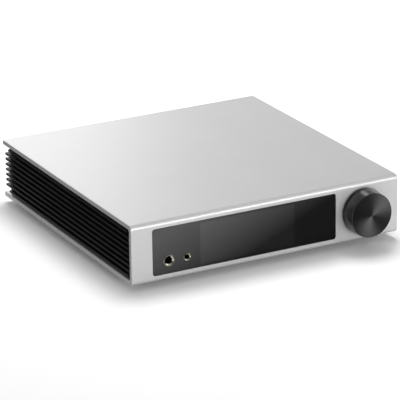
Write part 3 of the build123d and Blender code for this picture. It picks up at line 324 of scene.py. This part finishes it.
def makeJackRing(node, funnel):
    finish = Finish(node + "Gold")
    low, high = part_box(node)
    x, y, z = finish.axes(tuple((low + high) / 2))
    reach = radius(x, z)
    rim = finish.fade(reach, funnel - jackRing["rimSoft"], funnel + jackRing["rimSoft"])
    lines = finish.noise(finish.gather(reach, y, 0.0), jackRing["lineSize"])
    gilt = finish.tint(jackRing["giltColour"], lines, 0.92, 1.08)
    return finish.surface({
        "Base Color": finish.blend(rim, gilt, jackRing["rimColour"]),
        "Metallic": 1.0,
        "Roughness": jackRing["roughness"] + lines * 0.08,
        "Normal": finish.bump(lines, 0.2, 0.01 * mm),
    })


def makeMoulded(name, colour, roughness, texture=0.35 * mm, coat=0.0):
    finish = Finish(name)
    point = finish.point()
    spark = finish.noise(point, texture, 2.0, 0.6)
    flow = finish.noise(point, 14 * mm)
    return finish.surface({
        "Base Color": finish.tint(colour, spark * 0.5 + flow * 0.5, 0.8, 1.2),
        "Roughness": roughness - 0.05 + spark * 0.1,
        "Coat Weight": coat,
        "Normal": finish.bump(spark, 0.25, 0.02 * mm),
    })


paint = {
    "colour": (0.028, 0.028, 0.03),
    "roughness": 0.48,
    "peelSize": 0.8 * mm,
    "fleckSize": 0.2 * mm,
}


def makePanelPaint():
    finish = Finish("panelPaint")
    point = finish.point()
    peel = finish.noise(point, paint["peelSize"])
    fleck = finish.noise(point, paint["fleckSize"], 1.0)
    return finish.surface({
        "Base Color": finish.tint(paint["colour"], fleck, 0.7, 1.4),
        "Roughness": paint["roughness"] + peel * 0.1,
        "Normal": finish.bump(peel * 0.7 + fleck * 0.3, 0.4, 0.04 * mm),
    })


def makeSteel(name, colour, roughness, metal=1.0):
    finish = Finish(name)
    scratch = makeScratches(finish)
    bloom = finish.noise(finish.point(), 5 * mm, 3.0)
    return finish.surface({
        "Base Color": finish.tint(colour, bloom * 0.6 + scratch * 0.4, 0.82, 1.15),
        "Metallic": metal,
        "Roughness": roughness + scratch * 0.12,
        "Normal": finish.bump(scratch, 0.2, 0.01 * mm),
    })


socketShell = {
    "nodes": ("network_socket", "usb_host_socket", "usb_device_socket"),
    "plateColour": (0.62, 0.62, 0.63),
    "insertColour": (0.020, 0.020, 0.021),    # the dark lining of the mouth
    "wall": 0.4 * mm,
    "lip": 0.2 * mm,
    "roughness": 0.24,
}


def makeSocketShell(node):
    finish = Finish(node + "Shell")
    low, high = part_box(node)
    x, y, z = finish.axes()
    wall, lip = socketShell["wall"], socketShell["lip"]
    inside = (x > (low.x + wall)) * (x < (high.x - wall)) * (z > (low.z + wall)) * (z < (high.z - wall))
    inside = inside * (y < (high.y - lip)) * (y > (low.y + lip))
    scratch = makeScratches(finish)
    plate = finish.tint(socketShell["plateColour"], scratch, 0.8, 1.15)
    insert = finish.tint(socketShell["insertColour"], scratch, 0.7, 1.3)
    return finish.surface({
        "Base Color": finish.blend(inside, plate, insert),
        "Metallic": 1 - inside,
        "Roughness": socketShell["roughness"] + scratch * 0.12 + inside * 0.15,
        "Normal": finish.bump(scratch, 0.2, 0.01 * mm),
    })


rocker = {
    "colour": (0.014, 0.014, 0.015),
    "markColour": (0.75, 0.75, 0.74),
    "markOffset": 3.9 * mm,    # from the rocker's middle to each mark's middle
    "barHalf": 1.7 * mm,
    "ringRadius": 1.4 * mm,
    "lineHalf": 0.28 * mm,
}


def makeRocker():
    finish = Finish("switchRocker")
    low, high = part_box("power_rocker")
    x, y, z = finish.axes(tuple((low + high) / 2))
    half, offset = rocker["lineHalf"], rocker["markOffset"]
    bar = (abs(x) < half) * (abs(z - offset) < rocker["barHalf"])
    ring = abs(radius(x, z + offset) - rocker["ringRadius"]) < half
    marks = (bar + ring).atMost(1.0) * (y > 0.0)
    spark = finish.noise(finish.point(), 0.35 * mm, 2.0, 0.6)
    plastic = finish.tint(rocker["colour"], spark, 0.8, 1.2)
    return finish.surface({
        "Base Color": finish.blend(marks, plastic, rocker["markColour"]),
        "Roughness": 0.16 + spark * 0.08 + marks * 0.2,
        "Coat Weight": 0.4,
        "Normal": finish.bump(spark, 0.25, 0.02 * mm),
    })


rubber = {
    "colour": (0.03, 0.03, 0.03),
    "dustColour": (0.08, 0.08, 0.078),
    "roughness": 0.75,
    "skinSize": 0.5 * mm,
    "dustSize": 7 * mm,
}


def makeRubber():
    finish = Finish("rubber")
    point = finish.point()
    skin = finish.noise(point, rubber["skinSize"], 3.0, 0.6)
    dust = finish.fade(finish.noise(point, rubber["dustSize"], 3.0), 0.5, 0.8)
    return finish.surface({
        "Base Color": finish.blend(dust, rubber["colour"], rubber["dustColour"]),
        "Roughness": rubber["roughness"] + skin * 0.15,
        "Normal": finish.bump(skin, 0.5, 0.05 * mm),
    })


board = {
    "mask": (0.012, 0.085, 0.040),
    "track": (0.030, 0.16, 0.075),
    "trackPitch": 2.2 * mm,
    "trackEdge": (0.34, 0.38),
    "resinSize": 9 * mm,
    "roughness": 0.3,
}


def makeCircuitBoard():
    finish = Finish("circuitBoard")
    cells = finish.add(
        "ShaderNodeTexVoronoi", {"distance": "CHEBYCHEV", "feature": "F1"},
        {"Vector": finish.point(), "Scale": 1 / board["trackPitch"], "Randomness": 0.6},
    )
    copper = finish.fade(cells, *board["trackEdge"])
    resin = finish.noise(finish.point(), board["resinSize"])
    return finish.surface({
        "Base Color": finish.blend(copper * 0.8 + resin * 0.2, board["mask"], board["track"]),
        "Roughness": board["roughness"] + resin * 0.12,
        "Normal": finish.bump(copper, 0.5, 0.04 * mm),
    })


def makeRidges(finish, along, pitch, soft):    # 1 on each strand, 0 in the grooves
    strand = along.repeat(pitch)
    return finish.fade(strand, 0.0, soft) * finish.fade(strand, 1.0 - soft, 1.0, 1.0, 0.0)


winding = {
    "dark": (0.34, 0.25, 0.04),
    "pale": (0.72, 0.58, 0.12),
    "lapPitch": 0.8 * mm,
    "roughness": 0.35,
}


def makeWoundTape():
    finish = Finish("woundTape")
    x, y, z = finish.axes()
    lap = makeRidges(finish, z, winding["lapPitch"], 0.15)
    stain = finish.noise(finish.point(), 3 * mm, 3.0)
    return finish.surface({
        "Base Color": finish.blend(lap * 0.7 + stain * 0.3, winding["dark"], winding["pale"]),
        "Roughness": winding["roughness"] + stain * 0.1,
        "Normal": finish.bump(lap, 0.5, 0.05 * mm),
    })


capacitor = {
    "sleeveColour": (0.012, 0.014, 0.05),
    "topColour": (0.65, 0.65, 0.66),
    "topDepth": 0.4 * mm,
    "roughness": 0.28,
}


def makeCapacitorSleeve():
    finish = Finish("capacitorSleeve")
    x, y, z = finish.axes()
    low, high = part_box("supply_capacitors")
    shrink = finish.noise(finish.point((1, 1, 0.3)), 2 * mm)
    top = z > (high.z - capacitor["topDepth"])
    sleeve = finish.tint(capacitor["sleeveColour"], shrink, 0.7, 1.3)
    return finish.surface({
        "Base Color": finish.blend(top, sleeve, capacitor["topColour"]),
        "Metallic": top,
        "Roughness": capacitor["roughness"] + shrink * 0.1,
        "Normal": finish.bump(shrink, 0.3, 0.05 * mm),
    })


thermalPad = {
    "colour": (0.46, 0.53, 0.62),
    "weaveSize": 0.9 * mm,
    "roughness": 0.7,
}


def makeThermalPad():
    finish = Finish("thermalPad")
    weave = finish.add(
        "ShaderNodeTexVoronoi", {},
        {"Vector": finish.point(), "Scale": 1 / thermalPad["weaveSize"], "Randomness": 0.3},
    )
    return finish.surface({
        "Base Color": finish.tint(thermalPad["colour"], weave, 0.8, 1.1),
        "Roughness": thermalPad["roughness"] + weave * 0.1,
        "Normal": finish.bump(weave, 0.4, 0.05 * mm),
    })


cable = {
    "colour": (0.10, 0.10, 0.105),
    "wirePitch": 1.27 * mm,
    "roughness": 0.45,
}


def makeCable():
    finish = Finish("cable")
    x, y, z = finish.axes()
    wires = makeRidges(finish, x, cable["wirePitch"], 0.2)
    sheen = finish.noise(finish.point(), 3 * mm)
    return finish.surface({
        "Base Color": finish.tint(cable["colour"], wires * 0.6 + sheen * 0.4, 0.6, 1.3),
        "Roughness": cable["roughness"] + sheen * 0.1,
        "Normal": finish.bump(wires, 0.3, 0.05 * mm),
    })


finishes = {    # by the slot that the record names
    "satin_aluminium": makeSatinAluminium(),
    "black_aluminium": makeBlackAluminium(),
    "black_glass": makeCoverGlass(),
    "dark_knob": makeDarkKnob(),
    "gold": makeGold(),
    "black_plastic": makeMoulded("blackPlastic", (0.022, 0.022, 0.023), 0.42),
    "gloss_plastic": makeMoulded("glossPlastic", (0.014, 0.014, 0.015), 0.16, coat=0.4),
    "white_plastic": makeMoulded("paleMoulding", (0.78, 0.78, 0.75), 0.38),
    "panel_paint": makePanelPaint(),
    "steel": makeSteel("platedSteel", (0.62, 0.62, 0.63), 0.22),
    "black_steel": makeSteel("blackSteel", (0.03, 0.03, 0.032), 0.32, 0.7),
    "rubber": makeRubber(),
    "circuit_board": makeCircuitBoard(),
    "tape": makeMoulded("foamTape", (0.02, 0.02, 0.02), 0.8, 0.6 * mm),
    "display": makeMoulded("displayFace", (0.012, 0.012, 0.016), 0.12, 0.25 * mm, 0.6),
    "ferrite": makeMoulded("ferrite", (0.05, 0.05, 0.052), 0.55, 0.5 * mm),
    "winding": makeWoundTape(),
    "capacitor_sleeve": makeCapacitorSleeve(),
    "thermal_pad": makeThermalPad(),
    "cable": makeCable(),
}

ownFinishes = {"power_rocker": makeRocker()}    # by node, for pieces with a pattern of their own
for node, funnel in jackRing["funnels"].items():
    ownFinishes[node] = makeJackRing(node, funnel)
for node in socketShell["nodes"]:
    ownFinishes[node] = makeSocketShell(node)

for part in frame["record"]["subparts"]:
    piece = nodes[part["node"]]
    finish = ownFinishes.get(part["node"], finishes[part["material_slot"]])
    if not piece.material_slots:
        piece.data.materials.append(None)
    for slot in piece.material_slots:
        slot.material = finish
print("finishes set,", len(finishes) + len(ownFinishes))


# Stage: pale floor, soft light, lamps, camera

stage = {
    "floorHalf": 4.0,
    "floorColour": 0.84,
    "nearColour": 1.26,    # what the camera sees, near the case and far away
    "nearReach": 0.4,
    "farColour": 3.4,
    "farReach": 1.4,
    "paintedShadowColour": 0.06,    # painted shadow on the floor in front of the glass, seen only in what metal and glass reflect
    "darkSlant": 1.5,
    "darkStart": (-0.40, -0.235),
    "darkDepth": (-0.26, -0.15),
    "darkSoft": 0.008,
    "darkEndSlant": 0.5,
    "darkEnd": (0.012, 0.032),
    "paintedLeftShadowColour": 0.04,    # painted shadow on the floor beside the left fins, seen only in what they reflect
    "leftEdge": (-0.16, -0.13),
    "leftFront": -0.12,
}


def makeFloor():
    mesh = bpy.data.meshes.new("floor")
    shape = bmesh.new()
    bmesh.ops.create_grid(shape, x_segments=1, y_segments=1, size=stage["floorHalf"])
    shape.to_mesh(mesh)
    shape.free()
    floor = bpy.data.objects.new("floor", mesh)
    bpy.context.scene.collection.objects.link(floor)
    finish = Finish("floorPaper")
    seen = finish.add("ShaderNodeLightPath", output="Is Camera Ray")
    glossy = seen.output("Is Glossy Ray")
    x, y, z = finish.axes()
    # painted shadow: a dark patch on the floor in front of the glass, for glossy rays only
    near = finish.fade(x + y * stage["darkSlant"], *stage["darkStart"], curve="LINEAR")
    near = near * finish.between(y, *stage["darkDepth"], stage["darkSoft"])
    near = near * finish.fade(x + y * stage["darkEndSlant"], *stage["darkEnd"], 1.0, 0.0) * glossy
    # painted shadow: a dark patch on the floor beside the left fins, for glossy rays only
    left = finish.fade(x, *stage["leftEdge"], 1.0, 0.0) * (y > stage["leftFront"]) * glossy
    reach = (stage["nearReach"], stage["farReach"])
    shown = finish.fade(radius(x, y), *reach, stage["nearColour"], stage["farColour"])
    grey = stage["floorColour"] + near * (stage["paintedShadowColour"] - stage["floorColour"])
    grey = grey + left * (stage["paintedLeftShadowColour"] - stage["floorColour"])
    grey = grey + seen * (shown - stage["floorColour"])
    diffuse = finish.add("ShaderNodeBsdfDiffuse", {}, {"Color": finish.gather(grey, grey, grey)})
    finish.add("ShaderNodeOutputMaterial", {}, {"Surface": diffuse})
    mesh.materials.append(finish.material)


makeFloor()

surroundings = {
    "soft": 0.33,    # light that falls on dull surfaces
    "front": 1.0,    # from here on, what metal and glass show
    "back": 0.37,
    "turn": (-0.3, 0.3),
    "above": 0.30,
    "aboveRise": (0.45, 0.85),
    "left": 0.08,
    "leftAcross": (-0.4, -0.05),
    "windowLevel": 6.0,    # a low window at the front right
    "windowRise": (0.32, 0.48),
    "windowAcross": (0.32, 0.50),
    "windowSoft": 0.07,
    "windowAhead": (-0.4, -0.2),
    "spotLevel": 5.5,    # a glow behind, for the top plate's far corner
    "spotPlace": (0.26, 0.78, 0.56),
    "spotSpread": (0.984, 0.998),
}


def makeWorld():
    world = bpy.data.worlds.new("studio")
    bpy.context.scene.world = world
    world.use_nodes = True
    finish = Finish("studio", world.node_tree)
    seen = finish.add("ShaderNodeLightPath", output="Is Camera Ray")
    glossy = seen.output("Is Glossy Ray")
    direction = finish.add("ShaderNodeTexCoord", output="Generated")
    across = finish.add("ShaderNodeSeparateXYZ", {}, {0: direction}, output="X")
    ahead, upward = across.output("Y"), across.output("Z")
    mirrored = finish.fade(ahead, *surroundings["turn"], surroundings["front"], surroundings["back"])
    mirrored = mirrored * finish.fade(upward, *surroundings["aboveRise"], 1.0, surroundings["above"])
    mirrored = mirrored * finish.fade(across, *surroundings["leftAcross"], surroundings["left"], 1.0)
    window = finish.fade(upward, *surroundings["windowRise"], surroundings["windowLevel"], 0.0)
    window = window * finish.between(across, *surroundings["windowAcross"], surroundings["windowSoft"])
    window = window * finish.fade(ahead, *surroundings["windowAhead"], 1.0, 0.0)
    aim = [share * axis for share, axis in zip(surroundings["spotPlace"], (across, ahead, upward))]
    toward = aim[0] + aim[1] + aim[2]
    spot = finish.fade(toward, *surroundings["spotSpread"], 0.0, surroundings["spotLevel"])
    mirrored = mirrored + window + spot
    level = surroundings["soft"] + glossy * (mirrored - surroundings["soft"])
    level = level + seen * (1.0 - level)
    light = finish.add("ShaderNodeBackground", {}, {"Color": (1, 1, 1), "Strength": level})
    finish.add("ShaderNodeOutputWorld", {}, {"Surface": light})


makeWorld()


def addLamp(name, place, target, size, power, dull, shiny):
    light = bpy.data.lights.new(name, "AREA")
    light.shape = "RECTANGLE"
    light.size, light.size_y = size
    light.energy = power
    lamp = bpy.data.objects.new(name, light)
    aim = Vector(target) - Vector(place)
    lamp.matrix_world = Matrix.Translation(place) @ aim.to_track_quat("-Z", "Y").to_matrix().to_4x4()
    lamp.visible_camera = False
    lamp.visible_diffuse = dull
    lamp.visible_glossy = shiny
    bpy.context.scene.collection.objects.link(lamp)


lamps = {    # place, target, size, power, lights dull surfaces, shows in metal and glass
    "overheadLamp": ((0.13, 0.24, 1.00), (0, 0, 0), (0.6, 0.6), 7.0, True, False),
    "backLamp": ((0.10, 1.6, 0.5), (0, 0, 0.05), (1.2, 0.8), 3.8, False, True),
    "frontLamp": ((0.05, -1.5, 0.20), (0, -0.1, 0.05), (1.4, 0.4), 8.8, True, False),
}
for name, lamp in lamps.items():
    addLamp(name, *lamp)


view = {
    "focal": 2716.90,    # in pixels of a frame of 400
    "frame": 400,
    "sensor": 36,
    "turn": -27.627,    # degrees
    "rise": 20.037,
    "roll": -0.863,
    "distance": 2.4367486,    # metres from the target, then how far the camera is moved aside
    "side": -0.002756,
    "lift": -0.0119886,
    "target": (0.0, 0.00335, 0.0064),
}


def addCamera():
    data = bpy.data.cameras.new("photoCamera")
    data.sensor_width = view["sensor"]
    data.lens = view["focal"] / view["frame"] * data.sensor_width
    data.clip_start = 0.05
    camera = bpy.data.objects.new("photoCamera", data)
    turn, rise, roll = (math.radians(view[key]) for key in ("turn", "rise", "roll"))
    back = Vector((math.sin(turn) * math.cos(rise), -math.cos(turn) * math.cos(rise), math.sin(rise)))
    right = Vector((0, 0, 1)).cross(back).normalized()
    up = back.cross(right)
    across = math.cos(roll) * right + math.sin(roll) * up
    upward = math.cos(roll) * up - math.sin(roll) * right
    place = Vector(view["target"]) - view["side"] * across - view["lift"] * upward + view["distance"] * back
    turned = Matrix((across, upward, back)).transposed().to_4x4()
    camera.matrix_world = Matrix.Translation(place) @ turned
    bpy.context.scene.collection.objects.link(camera)
    bpy.context.scene.camera = camera


addCamera()
bpy.context.scene.view_settings.view_transform = "Standard"
print("stage, lamps and camera set")
